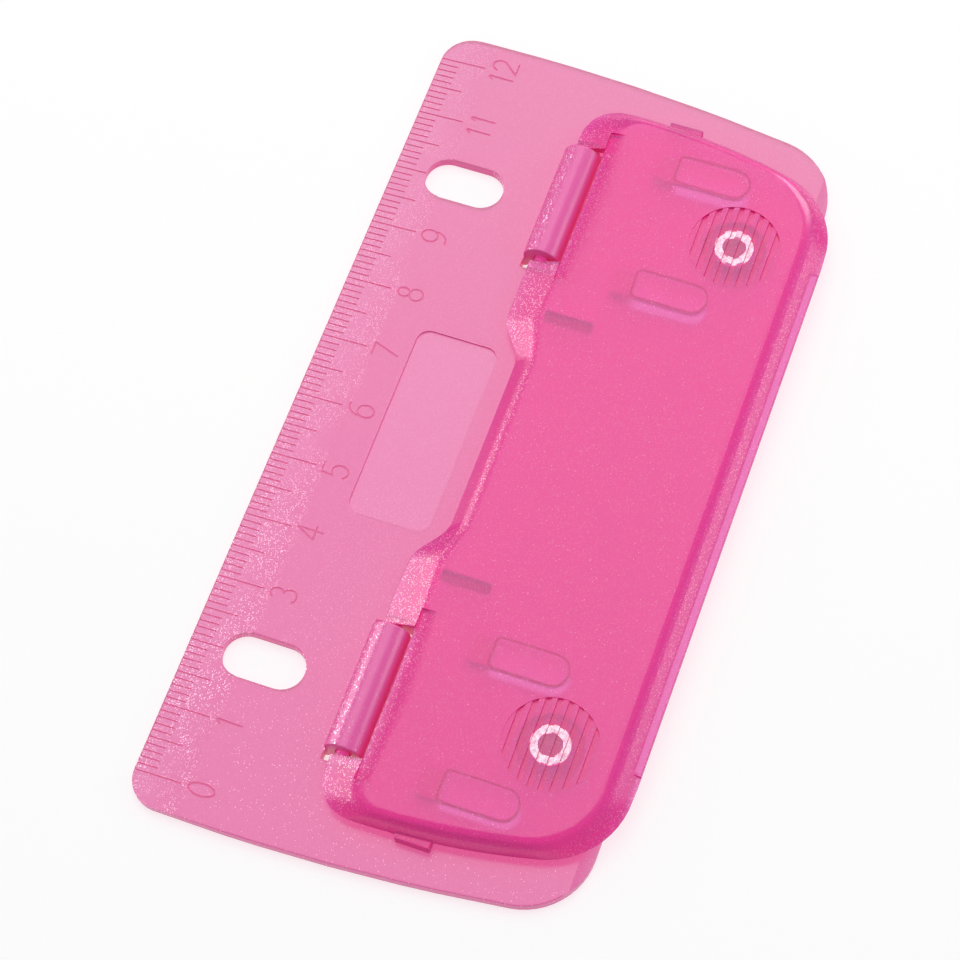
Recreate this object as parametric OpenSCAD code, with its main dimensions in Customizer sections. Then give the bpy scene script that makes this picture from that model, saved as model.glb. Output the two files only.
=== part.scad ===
// Two-hole pocket punch that files in a ring binder.
// A flat base plate carries a ruler edge and two filing slots. A hollow lever clips onto two hooks
// on the plate and drives two hollow steel punches through the paper and into holes in the plate.
// +X runs along the ruler, +Y points to the ruler edge, and the plate lies on z = 0.

/* [Base plate] */
// Length of the plate, at its widest
plate_len = 129; // [122:0.2:160]
// Depth of the plate, from the ruler edge to the front edge
plate_depth = 62.8; // [61:0.2:80]
// Thickness of the plate
plate_t = 1.6; // [1.2:0.1:2.4]
// Radius of the two corners at the ruler edge
plate_corner_r = 4.5; // [2:0.5:8]
// Radius of the two corners at the front edge
front_corner_r = 10; // [4:0.5:12]
// Radius of the gentle curve of the short ends
plate_end_r = 300; // [200:10:600]
// Distance from the ruler edge at which the plate is longest
plate_widest = 12; // [5:1:20]
// Width of the sloped strip that leads paper in at the front edge
lead_in_w = 1.8; // [0.5:0.1:3]
// Drop of that strip at the front edge
lead_in_drop = 0.6; // [0.2:0.1:1]

/* [Ruler] */
// Length of the scale
ruler_len = 120; // [100:10:120]
// Width of the bevel along the ruler edge
bevel_w = 8; // [4:0.5:8]
// Drop of the bevel at the ruler edge
bevel_drop = 0.5; // [0.1:0.05:0.8]
// Length of the centimetre marks
mark_cm = 7; // [5:0.5:9]
// Length of the half-centimetre marks
mark_half = 5; // [4:0.5:7]
// Length of the millimetre marks
mark_mm = 3; // [2:0.5:4]
// Width of an engraved mark
mark_w = 0.16; // [0.1:0.02:0.3]
// Depth of an engraved mark
mark_depth = 0.12; // [0.05:0.01:0.3]

/* [Holes] */
// Spacing of the binder's rings, shared by the slots and the punches
hole_spacing = 80; // [60:1:96]
// Width of a filing slot
slot_w = 6.6; // [5:0.1:8]
// Length of a filing slot
slot_len = 12; // [9:0.5:14]
// Distance of a slot's centre from the ruler edge
slot_from_edge = 10.9; // [9:0.1:14]

/* [Label recess] */
// Length of the recess for a name label
label_len = 30.5; // [20:0.1:37]
// Width of the recess
label_w = 12.2; // [8:0.1:14]
// Distance of its centre from the ruler edge
label_from_edge = 19.4; // [16:0.05:20]
// Depth of the recess
label_depth = 0.4; // [0.2:0.05:0.6]
// Corner radius of the recess
label_corner_r = 2; // [1:0.5:4]

/* [Paper stops] */
// Distance from the paper's edge to the middle of the holes
margin = 12; // [11:0.5:13]
// Distance of the punches behind the plate's front edge
punch_inset = 10.3; // [8.5:0.1:14]
// Distance of each finger from the punch beside it
finger_offset = 10; // [8.5:0.5:13]
// Width of a finger
finger_w = 4; // [3:0.2:6]
// Reach of a finger over the paper
finger_reach = 10.8; // [8:0.2:12]
// Height of the gap that the paper slides into
paper_gap = 1.6; // [1:0.1:1.8]
// Length of the block that carries a finger and stops the paper
stop_len = 3; // [2:0.5:4]
// Depth of the pockets in the lever's underside that the fingers reach into
pocket_depth = 0.5; // [0.3:0.1:0.7]
// Gap around a finger in its pocket
pocket_gap = 0.4; // [0.3:0.05:0.6]
// Gap above a finger and its block
finger_gap = 0.3; // [0.3:0.05:0.6]
// Gap between a finger and the opening in the plate below it
window_gap = 0.3; // [0.2:0.05:0.5]

/* [Hinge] */
// Distance of the hinge axis from the ruler edge
hinge_from_edge = 26.3; // [26:0.1:28]
// Height of the hinge axis above the plate
hinge_rise = 1.1; // [0.8:0.1:1.4]
// Radius of the lever's hinge rod
rod_r = 1.1; // [0.9:0.05:1.3]
// Running clearance of the rod in its hook, on the radius
rod_clear = 0.05; // [0.02:0.01:0.1]
// Wall of a hook
hook_wall = 1.65; // [1:0.05:1.8]
// Length of a hook
hook_len = 18.8; // [12:0.2:24]
// Thickness of the lever's cheek at each end of a hook
cheek_t = 1.2; // [0.8:0.1:2]
// Gap between the heel of a cheek and the plate, with the lever down
heel_gap = 0.5; // [0.5:0.05:0.7]
// Gap between a hook and the lever, at its ends
hook_side_gap = 0.6; // [0.3:0.1:1]
// Gap between a hook and the lever, around it
hook_gap = 0.4; // [0.3:0.05:0.6]

/* [Lever] */
// Distance of the lever's short ends inside the plate's
end_inset = 6.5; // [4:0.1:10]
// How far the lever's front edge stands out past the plate
overhang = 2.4; // [1:0.2:5]
// Distance of the lever's rear edge behind the hinge axis
tail = 1.5; // [1:0.1:2]
// Wall of the lever
lever_wall = 1.2; // [1:0.1:1.8]
// Gap between the lever's rim and the plate
rim_gap = 1.5; // [1:0.1:1.8]
// Height of the lever's top above the plate
lever_rise = 3.9; // [3.6:0.1:4.4]
// How far the lever's short ends sweep in towards the front
lever_sweep = 5.7; // [3:0.1:7]
// Distance in front of the hinge axis at which the lever is longest
lever_widest = 4.7; // [2:0.1:8]
// Radius of the lever's front corners
lever_front_r = 12; // [8:1:16]
// Radius of the lever's rear corners
lever_rear_r = 5.5; // [4:0.5:6]
// Width of the slope along the short ends
end_slope = 1.2; // [1:0.1:2.5]
// Width of the slope along the front edge
front_slope = 3.1; // [2:0.1:4.5]
// Width of the slope along the rear edge
rear_slope = 5.2; // [3.5:0.1:5.6]
// Length of the notch beside the label recess, at full depth
notch_len = 26.2; // [20:0.2:30]
// Depth of the notch at the lever's rim
notch_depth = 3.6; // [2:0.1:4]
// Depth of the notch at the lever's top
notch_top_depth = 0.9; // [0.5:0.1:2]
// Length of each curve at the notch's ends
notch_run = 7; // [6:0.5:9]

/* [Lever details] */
// Width of the sunken ledge in front of each hook
ledge_w = 2.3; // [1.5:0.1:3]
// Drop of the ledge, from the lever's top to the cut-out
ledge_drop = 0.7; // [0.5:0.1:1.2]
// Length of that ledge beyond each end of the hook's cut-out
ledge_over = 2.9; // [1:0.1:3.5]
// Distance of the two stiffening ribs from the middle
rib_from_middle = 21.3; // [18:0.1:22]
// Length of a stiffening rib
rib_len = 7; // [4:0.5:8]
// Thickness of a stiffening rib
rib_t = 1.4; // [1:0.1:2]
// Length of the lug on each short end
lug_len = 5; // [3:0.5:8]
// How far a lug stands out
lug_out = 0.45; // [0.2:0.05:1]
// Gap left between a lug and the plate
lug_gap = 0.2; // [0.1:0.05:0.5]
// Distance of the lugs from the ruler edge
lug_from_edge = 39.5; // [37:0.5:42]
// Width of the thin lip along the front edge
lip_w = 0.9; // [0.5:0.1:1.5]
// Height of that lip
lip_h = 0.8; // [0.5:0.1:1]

/* [Press pads] */
// Radius of a ribbed press pad
pad_r = 6.6; // [5.5:0.1:7.4]
// Depth of the pad below the lever's top
pad_depth = 0.6; // [0.4:0.05:0.8]
// Height of the grip ribs on the pad
grip_h = 0.45; // [0.2:0.05:0.5]
// Spacing of the grip ribs
grip_pitch = 1.55; // [1.2:0.05:2]
// Width of a grip rib
grip_w = 0.8; // [0.5:0.05:0.9]

/* [Punches] */
// Outer radius of a punch
punch_r = 2.75; // [2.5:0.05:3]
// Wall of a punch
punch_wall = 0.9; // [0.5:0.05:1]
// Clearance between a punch and the hole below it, on the radius
die_clear = 0.35; // [0.3:0.05:0.5]
// Height of a punch's cutting edge above the table, with the lever down
tip_gap = 0.25; // [0.1:0.05:0.4]
// Depth that a punch seats in its boss
seat_depth = 1.9; // [0.5:0.1:2]
// Wall of the boss around a punch
boss_wall = 1.75; // [1.2:0.05:2]
// Gap between the boss and the plate, with the lever down
boss_gap = 0.6; // [0.3:0.1:1]
// Height of the bevel inside the cutting edge
edge_bevel = 0.8; // [0.4:0.1:1]
// Width of the flat that is left on the cutting edge
edge_flat = 0.1; // [0.05:0.05:0.2]

/* [Hidden] */
$fn = 64;

cut = 1; // how far a cutter runs past what it cuts
bite = 0.1; // how far a piece runs into what it joins
sides = [-1, 1];
base_colour = "#f08abb";
lever_colour = "#e4569a";
steel_colour = "#d9dadc";

// The lever's front edge sets the overall depth, so that the origin stays under the middle
overall_depth = plate_depth + overhang;
function y_at(from_edge) = overall_depth / 2 - from_edge;

// Height of the ruler bevel's surface
function bevel_at(from_edge) = plate_t - bevel_drop * (1 - from_edge / bevel_w);

punch_line = plate_depth - punch_inset;
stop_line = punch_line - margin;
hinge_z = plate_t + hinge_rise;
bore_r = rod_r + rod_clear;
hook_r = bore_r + hook_wall;
die_r = punch_r + die_clear;

top_z = plate_t + lever_rise;
under_z = top_z - lever_wall;
pocket_z = under_z + pocket_depth;
block_z = under_z - finger_gap;
finger_z = plate_t + paper_gap;
finger_top = pocket_z - finger_gap;
rim_z = plate_t + rim_gap;
lug_z = plate_t + lug_gap;
lug_top = rim_z + lip_h / 2;
slope_h = top_z - rim_z;

lever_half = plate_len / 2 - end_inset;
rear_line = hinge_from_edge - tail;
widest_line = hinge_from_edge + lever_widest;
lever_reach = overall_depth - widest_line;
lever_end_r = (pow(lever_reach, 2) + pow(lever_sweep, 2)) / (2 * lever_sweep);
cut_half = hook_len / 2 + hook_side_gap;
cut_line = hinge_from_edge + hook_r + hook_gap; // front of the hook's cut-out
boss_z = plate_t + boss_gap;
seat_z = boss_z + seat_depth;
bore_in_punch = punch_r - punch_wall;
mouth_from = 230; // the hook's mouth, in degrees about its axis, seen with the front to the right
mouth_to = 340;
edge_steps = 36; // straight pieces along the lever's rear edge

// Points on an arc, without its first one
function arc(centre, r, from, to, count) =
    [for (i = [1:count]) let (a = from + (to - from) * i / count) centre + r * [cos(a), sin(a)]];

function mirrored(points) = [for (i = [len(points) - 1:-1:0]) [-points[i].x, points[i].y]];

// Centre of a corner circle of radius r that touches both a line at height y and the end's arc
function corner(half, apex, end_r, y, r) =
    [half - end_r + sqrt(pow(end_r - r, 2) - pow(y - apex, 2)), y];

// Right half of a plate with bowed short ends, from the front edge round to the rear edge
function bowed_side(half, front, rear, apex, end_r, r_front, r_rear) =
    let (
        low = corner(half, apex, end_r, front + r_front, r_front),
        high = corner(half, apex, end_r, rear - r_rear, r_rear),
        hub = [half - end_r, apex],
        low_a = atan2(low.y - hub.y, low.x - hub.x),
        high_a = atan2(high.y - hub.y, high.x - hub.x)
    )
    concat([[low.x, front]], arc(low, r_front, -90, low_a, 12), arc(hub, end_r, low_a, high_a, 10),
        arc(high, r_rear, high_a, 90, 8));

// Depth of the lever's notch at a place along its rear edge
function notch_at(x, depth) =
    let (t = (notch_len / 2 + notch_run - abs(x)) / notch_run)
    depth * (t <= 0 ? 0 : t >= 1 ? 1 : (1 - cos(180 * t)) / 2);

// Outline of the lever at one height. The rear edge has the notch, and the slopes widen downwards
function lever_outline(end_in, front_in, rear_in, depth) =
    let (
        side = bowed_side(lever_half - end_in, -overall_depth / 2 + front_in, y_at(rear_line + rear_in),
            y_at(widest_line), lever_end_r, lever_front_r - end_in, lever_rear_r - end_in),
        half_edge = notch_len / 2 + notch_run,
        edge = [for (i = [0:edge_steps]) half_edge * (1 - 2 * i / edge_steps)]
    )
    concat(side, [for (x = edge) [x, y_at(rear_line + rear_in + notch_at(x, depth))]], mirrored(side));

// Tray between rings with as many points each: outer top, outer rim, inner rim and inner ceiling
module tray(rings, heights) {
    count = len(rings[0]);
    last = 3 * count;
    polyhedron(
        points = [for (k = [0:3], p = rings[k]) [p.x, p.y, heights[k]]],
        faces = concat(
            [[for (i = [count - 1:-1:0]) i]],
            [for (k = [0:2], i = [0:count - 1])
                let (a = k * count + i, b = k * count + (i + 1) % count) [a, b, b + count, a + count]],
            [[for (i = [0:count - 1]) last + i]]
        )
    );
}

// Slot with round ends along Y, centred
module slot(w, length, h) {
    translate([-w / 2, -(length - w) / 2, 0]) cube([w, length - w, h]);
    for (s = sides) translate([0, s * (length - w) / 2, 0]) cylinder(r = w / 2, h = h);
}

// Cross-section in Y and Z that is swept along X, centred
module swept(length) {
    rotate([90, 0, 90]) translate([0, 0, -length / 2]) linear_extrude(length) children();
}

// ---- base plate ----

module plate_blank() {
    side = bowed_side(plate_len / 2, y_at(plate_depth), y_at(0), y_at(plate_widest), plate_end_r,
        front_corner_r, plate_corner_r);
    linear_extrude(plate_t) polygon(concat(side, mirrored(side)));
}

module edge_strips() {
    swept(plate_len + 2 * cut) polygon([
        [y_at(bevel_w), plate_t], [y_at(-cut), bevel_at(-cut)],
        [y_at(-cut), plate_t + cut], [y_at(bevel_w), plate_t + cut]
    ]);
    swept(plate_len + 2 * cut) polygon([
        [y_at(plate_depth - lead_in_w), plate_t],
        [y_at(plate_depth + cut), plate_t - lead_in_drop * (1 + cut / lead_in_w)],
        [y_at(plate_depth + cut), plate_t + cut], [y_at(plate_depth - lead_in_w), plate_t + cut]
    ]);
}

// The marks run out at the edge, and their floors follow the bevel
module ruler_marks() {
    for (i = [0:ruler_len]) {
        length = i % 10 == 0 ? mark_cm : i % 5 == 0 ? mark_half : mark_mm;
        translate([i - ruler_len / 2, 0, 0]) swept(mark_w) polygon([
            [y_at(length), bevel_at(length) - mark_depth], [y_at(-cut), bevel_at(-cut) - mark_depth],
            [y_at(-cut), plate_t + cut], [y_at(length), plate_t + cut]
        ]);
    }
}

module label_recess() {
    w = label_w / 2 - label_corner_r;
    l = label_len / 2 - label_corner_r;
    translate([0, y_at(label_from_edge), plate_t - label_depth]) {
        translate([-l, -label_w / 2, 0]) cube([2 * l, label_w, label_depth + cut]);
        translate([-label_len / 2, -w, 0]) cube([label_len, 2 * w, label_depth + cut]);
        for (x = sides, y = sides) translate([x * l, y * w, 0])
            cylinder(r = label_corner_r, h = label_depth + cut);
    }
}

// Outline of a finger: square at its root, round at its tip
module finger_outline(grow = 0) {
    tip = finger_reach - finger_w / 2;
    translate([-finger_w / 2 - grow, -tip]) square([finger_w + 2 * grow, tip]);
    translate([0, -tip]) circle(r = finger_w / 2 + grow);
}

module at_fingers() {
    for (s = sides, f = sides)
        translate([s * hole_spacing / 2 + f * finger_offset, y_at(stop_line), 0]) children();
}

// A finger steps up in front of its block, into the pocket in the lever
module finger() {
    translate([0, 0, finger_z]) linear_extrude(block_z - finger_z) finger_outline();
    translate([-finger_w / 2, 0, plate_t - bite]) cube([finger_w, stop_len, block_z - plate_t + bite]);
    intersection() {
        translate([0, 0, finger_z]) linear_extrude(finger_top - finger_z) finger_outline();
        translate([-finger_w, -finger_reach - 2 * pocket_gap, 0])
            cube([2 * finger_w, finger_reach, finger_top + cut]);
    }
}

// The mould's core comes up through the plate under each finger
module finger_window() {
    translate([0, 0, -cut]) linear_extrude(plate_t + 2 * cut) finger_outline(grow = window_gap);
}

module hook() {
    foot = hook_r * sin(mouth_from);
    translate([0, y_at(hinge_from_edge), hinge_z]) swept(hook_len) mirror([1, 0]) difference() {
        union() {
            circle(r = hook_r);
            translate([-hook_r, -hinge_z]) square([hook_r + bore_r * cos(mouth_from), hinge_z]);
        }
        circle(r = bore_r);
        polygon([[0, 0], 2 * hook_r * [cos(mouth_from), sin(mouth_from)], [0, 2 * foot],
            2 * hook_r * [1, -1], 2 * hook_r * [cos(mouth_to), sin(mouth_to)]]);
        translate([-2 * hook_r, -hinge_z - 2 * hook_r]) square([4 * hook_r, 2 * hook_r]);
    }
}

// Opening in the plate for the rod to turn in, which also lets the hook be moulded
module hook_window() {
    from = hinge_from_edge - hook_r;
    to = cut_line + hook_gap;
    translate([-cut_half - hook_side_gap, y_at(to), -cut])
        cube([2 * (cut_half + hook_side_gap), to - from, plate_t + 2 * cut]);
}

module base_plate() {
    color(base_colour) {
        difference() {
            plate_blank();
            edge_strips();
            ruler_marks();
            label_recess();
            for (s = sides) {
                translate([s * hole_spacing / 2, y_at(slot_from_edge), -cut])
                    slot(slot_w, slot_len, plate_t + 2 * cut);
                translate([s * hole_spacing / 2, y_at(punch_line), -cut])
                    cylinder(r = die_r, h = plate_t + 2 * cut);
                translate([s * hole_spacing / 2, 0, 0]) hook_window();
            }
            at_fingers() finger_window();
        }
        at_fingers() finger();
        for (s = sides) translate([s * hole_spacing / 2, 0, 0]) hook();
    }
}

// ---- lever ----

// Run of a slope's inner face at one height, for a wall of even thickness
function inner_in(run, z) = run * (z - rim_z) / slope_h + lever_wall * sqrt(1 + pow(run / slope_h, 2));

module lever_shell() {
    // The notch's slope is steeper than the long slope, so its wall takes less width
    wall_less = inner_in(rear_slope, rim_z) - inner_in(rear_slope - notch_depth + notch_top_depth, rim_z);
    mid_notch = notch_depth + (notch_top_depth - notch_depth) * (under_z - rim_z) / slope_h;
    tray([
        lever_outline(end_slope, front_slope, rear_slope, notch_top_depth),
        lever_outline(0, 0, 0, notch_depth),
        lever_outline(inner_in(end_slope, rim_z), inner_in(front_slope, rim_z),
            inner_in(rear_slope, rim_z), notch_depth - wall_less),
        lever_outline(inner_in(end_slope, under_z), inner_in(front_slope, under_z),
            inner_in(rear_slope, under_z), mid_notch - wall_less)
    ], [top_z, rim_z, rim_z, under_z]);
}

// Pocket that a finger reaches into
module finger_pocket() {
    difference() {
        translate([0, 0, under_z - cut]) linear_extrude(pocket_depth + cut) finger_outline(grow = pocket_gap);
        translate([-finger_w, -pocket_gap, 0]) cube([2 * finger_w, cut, top_z]);
    }
}

// Room for a hook, open to the rear, with a sunken ledge in front of it
module hook_cutout() {
    translate([-cut_half, y_at(cut_line), 0]) cube([2 * cut_half, hook_r * 2 + 2 * cut + tail, top_z + cut]);
    swept(2 * (cut_half + ledge_over)) polygon([
        [y_at(cut_line + ledge_w), top_z], [y_at(cut_line), top_z - ledge_drop],
        [y_at(cut_line), top_z + cut], [y_at(cut_line + ledge_w), top_z + cut]
    ]);
}

// Wall that carries the ledge from below
module ledge_wall() {
    from = cut_line - lever_wall;
    to = cut_line + lever_wall;
    low = under_z - ledge_drop;
    swept(2 * (cut_half + ledge_over)) polygon([
        [y_at(from), low], [y_at(to), low], [y_at(to + ledge_w), under_z],
        [y_at(to + ledge_w), under_z + bite], [y_at(from), under_z + bite]
    ]);
}

// Rod that turns in the hook, with a solid cheek under the slope at each end
module hinge_rod() {
    front = hinge_from_edge + 2 * rod_r;
    heel_z = plate_t + heel_gap;
    translate([0, y_at(hinge_from_edge), hinge_z]) rotate([0, 90, 0])
        cylinder(r = rod_r, h = 2 * (cut_half + bite), center = true);
    for (s = sides) translate([s * (cut_half + cheek_t / 2), 0, 0]) swept(cheek_t) polygon([
        [y_at(rear_line), heel_z], [y_at(front), heel_z],
        [y_at(front), rim_z + (front - rear_line) * slope_h / rear_slope], [y_at(rear_line), rim_z]
    ]);
}

module press_pad() {
    floor_z = top_z - pad_depth;
    rows = floor(pad_r / grip_pitch);
    difference() {
        translate([0, 0, floor_z]) cylinder(r = pad_r, h = pad_depth + cut);
        intersection() {
            translate([0, 0, floor_z - cut]) cylinder(r = pad_r, h = cut + grip_h);
            for (i = [-rows:rows]) translate([-pad_r, i * grip_pitch - grip_w / 2, floor_z - cut])
                cube([2 * pad_r, grip_w, cut + grip_h]);
        }
    }
}

// Boss with a ring-shaped seat for the punch, and a spigot inside the punch
module punch_boss() {
    difference() {
        translate([0, 0, boss_z]) cylinder(r = punch_r + boss_wall, h = under_z - boss_z + bite);
        translate([0, 0, boss_z - cut]) cylinder(r = punch_r, h = seat_depth + cut);
    }
    translate([0, 0, tip_gap + edge_bevel])
        cylinder(r = bore_in_punch, h = seat_z - tip_gap - edge_bevel + bite);
}

module ribs_and_lip() {
    for (s = sides) {
        from = rear_line + inner_in(rear_slope, under_z);
        translate([s * rib_from_middle - rib_t / 2, y_at(from + rib_len), rim_z])
            cube([rib_t, rib_len, under_z - rim_z + bite]);
        translate([s * (lever_half + (lug_out - lever_wall) / 2), y_at(lug_from_edge), (lug_z + lug_top) / 2])
            cube([lever_wall + lug_out, lug_len, lug_top - lug_z], center = true);
    }
    translate([-hole_spacing / 2, -overall_depth / 2, rim_z + bite]) cube([hole_spacing, lip_w * 2, lip_h]);
}

module punch_lever() {
    color(lever_colour) {
        difference() {
            union() {
                lever_shell();
                ribs_and_lip();
                for (s = sides) translate([s * hole_spacing / 2, 0, 0]) ledge_wall();
            }
            for (s = sides) translate([s * hole_spacing / 2, 0, 0]) {
                hook_cutout();
                translate([0, y_at(punch_line), 0]) press_pad();
            }
            at_fingers() finger_pocket();
        }
        for (s = sides) translate([s * hole_spacing / 2, 0, 0]) {
            hinge_rod();
            translate([0, y_at(punch_line), 0]) punch_boss();
        }
    }
}

// ---- punches ----

// Hollow steel tube with its cutting edge ground from the inside
module punch(side) {
    color(steel_colour) translate([side * hole_spacing / 2, y_at(punch_line), 0]) difference() {
        translate([0, 0, tip_gap]) cylinder(r = punch_r, h = seat_z - tip_gap);
        translate([0, 0, tip_gap - cut]) cylinder(r = bore_in_punch, h = seat_z - tip_gap + 2 * cut);
        translate([0, 0, tip_gap])
            cylinder(r1 = punch_r - edge_flat, r2 = bore_in_punch, h = edge_bevel);
    }
}

module punch_left() { punch(-1); }
module punch_right() { punch(1); }

base_plate();
punch_lever();
punch_left();
punch_right();
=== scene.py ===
import math
import bmesh
import bpy
from mathutils import Matrix, Vector
from mathutils.geometry import intersect_point_line


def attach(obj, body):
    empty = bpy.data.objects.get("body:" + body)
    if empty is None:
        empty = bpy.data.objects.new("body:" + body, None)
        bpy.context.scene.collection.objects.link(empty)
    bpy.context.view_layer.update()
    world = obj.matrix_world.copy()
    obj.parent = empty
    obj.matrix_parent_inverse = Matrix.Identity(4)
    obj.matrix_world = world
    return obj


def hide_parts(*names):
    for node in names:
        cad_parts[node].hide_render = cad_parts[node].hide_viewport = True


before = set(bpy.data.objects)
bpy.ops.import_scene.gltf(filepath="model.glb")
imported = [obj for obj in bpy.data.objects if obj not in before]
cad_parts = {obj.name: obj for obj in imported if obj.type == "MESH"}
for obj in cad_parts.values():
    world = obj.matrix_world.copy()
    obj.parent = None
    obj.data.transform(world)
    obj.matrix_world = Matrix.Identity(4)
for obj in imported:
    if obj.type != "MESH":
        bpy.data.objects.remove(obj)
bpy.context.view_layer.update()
mm = 0.001  # lengths in the dictionaries are in mm, unless a note says otherwise


def linear(hexColour):  # sRGB hex to the linear colour that shaders take
    c = [int(hexColour[i:i + 2], 16) / 255 for i in (1, 3, 5)]
    return tuple(v / 12.92 if v <= 0.04045 else ((v + 0.055) / 1.055) ** 2.4 for v in c) + (1.0,)


def addNode(tree, kind, settings):  # a setting that is another node's socket is linked
    n = tree.nodes.new(kind)
    for key, value in settings.items():
        if isinstance(value, bpy.types.NodeSocket):
            tree.links.new(value, n.inputs[key])
        elif isinstance(key, int) or key in n.inputs:
            n.inputs[key].default_value = value
        else:
            setattr(n, key, value)
    return n


def newMaterial(name):
    m = bpy.data.materials.new(name)
    m.use_nodes = True
    m.node_tree.nodes.clear()
    return m


def covered(t, *factors):
    # how much of a place something covers, as a product; a factor is a share, or an operation with its
    # values, such as a test, which gives 1 where it holds
    product = None
    for factor in factors:
        if isinstance(factor, tuple):
            operation, *values = factor
            node = addNode(t, "ShaderNodeMath", {"operation": operation, **dict(enumerate(values))})
            factor = node.outputs[0]
        if product is not None:
            node = addNode(t, "ShaderNodeMath", {"operation": "MULTIPLY", 0: product, 1: factor})
            factor = node.outputs[0]
        product = factor
    return product


def ramp(ends, low=0.0, high=1.0):  # settings that turn one stretch of values into another
    return {"From Min": ends[0], "From Max": ends[1], "To Min": low, "To Max": high}


def inMetres(lengths):
    return [length * mm for length in lengths]


# Pearl flakes, drawn about twice their real size so that they show. share of the cells hold one, which
# reaches dot of a cell's width from its middle and leans in the skin by up to mostLean; the odd ones that
# stand out anywhere lean less than oddLean of that. The rest are made to show more on skin that leans to the
# rear, and ahead, where the rear and front lamps are mirrored, so that their glints gather there as a painted
# highlight: rear, steep and ahead are stretches of the skin's direction along Y.
glitter = {"hex": "#fad2e4", "rough": 0.3, "size": 0.19, "share": 0.4, "dot": 0.38, "mostLean": 0.35,
           "oddLean": 0.5, "flatShow": 0.06, "rear": (0.12, 0.42), "steep": (0.5, 0.65),
           "ahead": (-0.3, -0.5)}
# On the ruler's edge, which leans towards the lamps, more flakes are made to show, in drifts some 5 mm
# across, so that it glints more there, a painted highlight. They thin out along X, and so do the odd ones.
rulerGlints = {"from": 23.8, "full": 25.3, "show": 0.9, "driftSize": 5.5556, "drift": (0.3, 0.52),
         "along": (-60.0, 50.0), "least": 0.25, "oddAlong": (-60.0, -5.0), "oddLeast": 0.06}


def frosted(t, given, odd):  # how strongly flakes show that stand out on the ruler
    x, y = given["spot"]["X"], given["spot"]["Y"]
    oddAlong = addNode(t, "ShaderNodeMapRange", {
        "Value": x, **ramp(inMetres(rulerGlints["oddAlong"]), 1.0, rulerGlints["oddLeast"])})
    strip = addNode(t, "ShaderNodeMapRange", {
        "Value": y, **ramp(inMetres((rulerGlints["from"], rulerGlints["full"])), 0.0, rulerGlints["show"])})
    along = addNode(t, "ShaderNodeMapRange", {
        "Value": x, **ramp(inMetres(rulerGlints["along"]), 1.0, rulerGlints["least"])})
    drift = addNode(t, "ShaderNodeTexNoise", {
        "Scale": 1 / (rulerGlints["driftSize"] * mm), "Detail": 2.0, "Vector": given["place"]})
    patches = addNode(t, "ShaderNodeMapRange", {"Value": drift.outputs["Fac"], **ramp(rulerGlints["drift"])})
    return addNode(t, "ShaderNodeMath", {
        "operation": "MAXIMUM", 0: covered(t, odd, oddAlong.outputs[0]),
        1: covered(t, strip.outputs[0], along.outputs[0], patches.outputs[0])}).outputs[0]


def flakesIn(t, given, tint, ownFlakes):  # how much of the skin is flake, and which way the flakes face
    cells = addNode(t, "ShaderNodeTexVoronoi", {
        "Scale": 1 / (glitter["size"] * mm), "Vector": given["place"]}).outputs
    parts = addNode(t, "ShaderNodeSeparateColor", {"Color": cells["Color"]}).outputs
    angles = addNode(t, "ShaderNodeTexWhiteNoise", {"noise_dimensions": "3D", "Vector": cells["Position"]})
    scatter = addNode(t, "ShaderNodeVectorMath", {
        "operation": "SUBTRACT", 0: angles.outputs["Color"], 1: (0.5, 0.5, 0.5)})
    across = addNode(t, "ShaderNodeVectorMath", {
        "operation": "CROSS_PRODUCT", 0: scatter.outputs[0], 1: given["normal"]})
    side = addNode(t, "ShaderNodeVectorMath", {"operation": "NORMALIZE", 0: across.outputs[0]})
    tilt = addNode(t, "ShaderNodeVectorMath", {
        "operation": "SCALE", 0: side.outputs[0], "Scale": covered(t, parts["Green"], glitter["mostLean"])})
    leaning = addNode(t, "ShaderNodeVectorMath", {"operation": "ADD", 0: tilt.outputs[0], 1: given["normal"]})
    flakeNormal = addNode(t, "ShaderNodeVectorMath", {"operation": "NORMALIZE", 0: leaning.outputs[0]})
    # how strongly they show: faint on the flats, bright on what leans to the rear towards the rear lamps, a
    # painted highlight
    lie = given["lie"]["Y"]
    rear = addNode(t, "ShaderNodeMapRange", {
        "Value": lie, **ramp(glitter["rear"], glitter["flatShow"], tint["slopeShow"])})
    steep = addNode(t, "ShaderNodeMapRange", {
        "Value": lie, **ramp(glitter["steep"], rear.outputs[0], tint["steepShow"])})
    ahead = addNode(t, "ShaderNodeMapRange", {
        "Value": lie, **ramp(glitter["ahead"], 0.0, tint["frontShow"])})
    slope = addNode(t, "ShaderNodeMath", {"operation": "MAXIMUM", 0: steep.outputs[0], 1: ahead.outputs[0]})
    odd = covered(t, ("LESS_THAN", parts["Blue"], tint["oddShare"]),
                  ("LESS_THAN", parts["Green"], glitter["oddLean"]), tint["oddShow"])
    show = addNode(t, "ShaderNodeMath", {
        "operation": "MAXIMUM", 0: slope.outputs[0], 1: ownFlakes(t, given, odd) if ownFlakes else odd})
    flakes = covered(t, ("LESS_THAN", parts["Red"], glitter["share"]),
                     ("LESS_THAN", cells["Distance"], glitter["dot"]), show.outputs[0], given["outside"])
    return flakes, flakeNormal.outputs[0]


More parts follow.
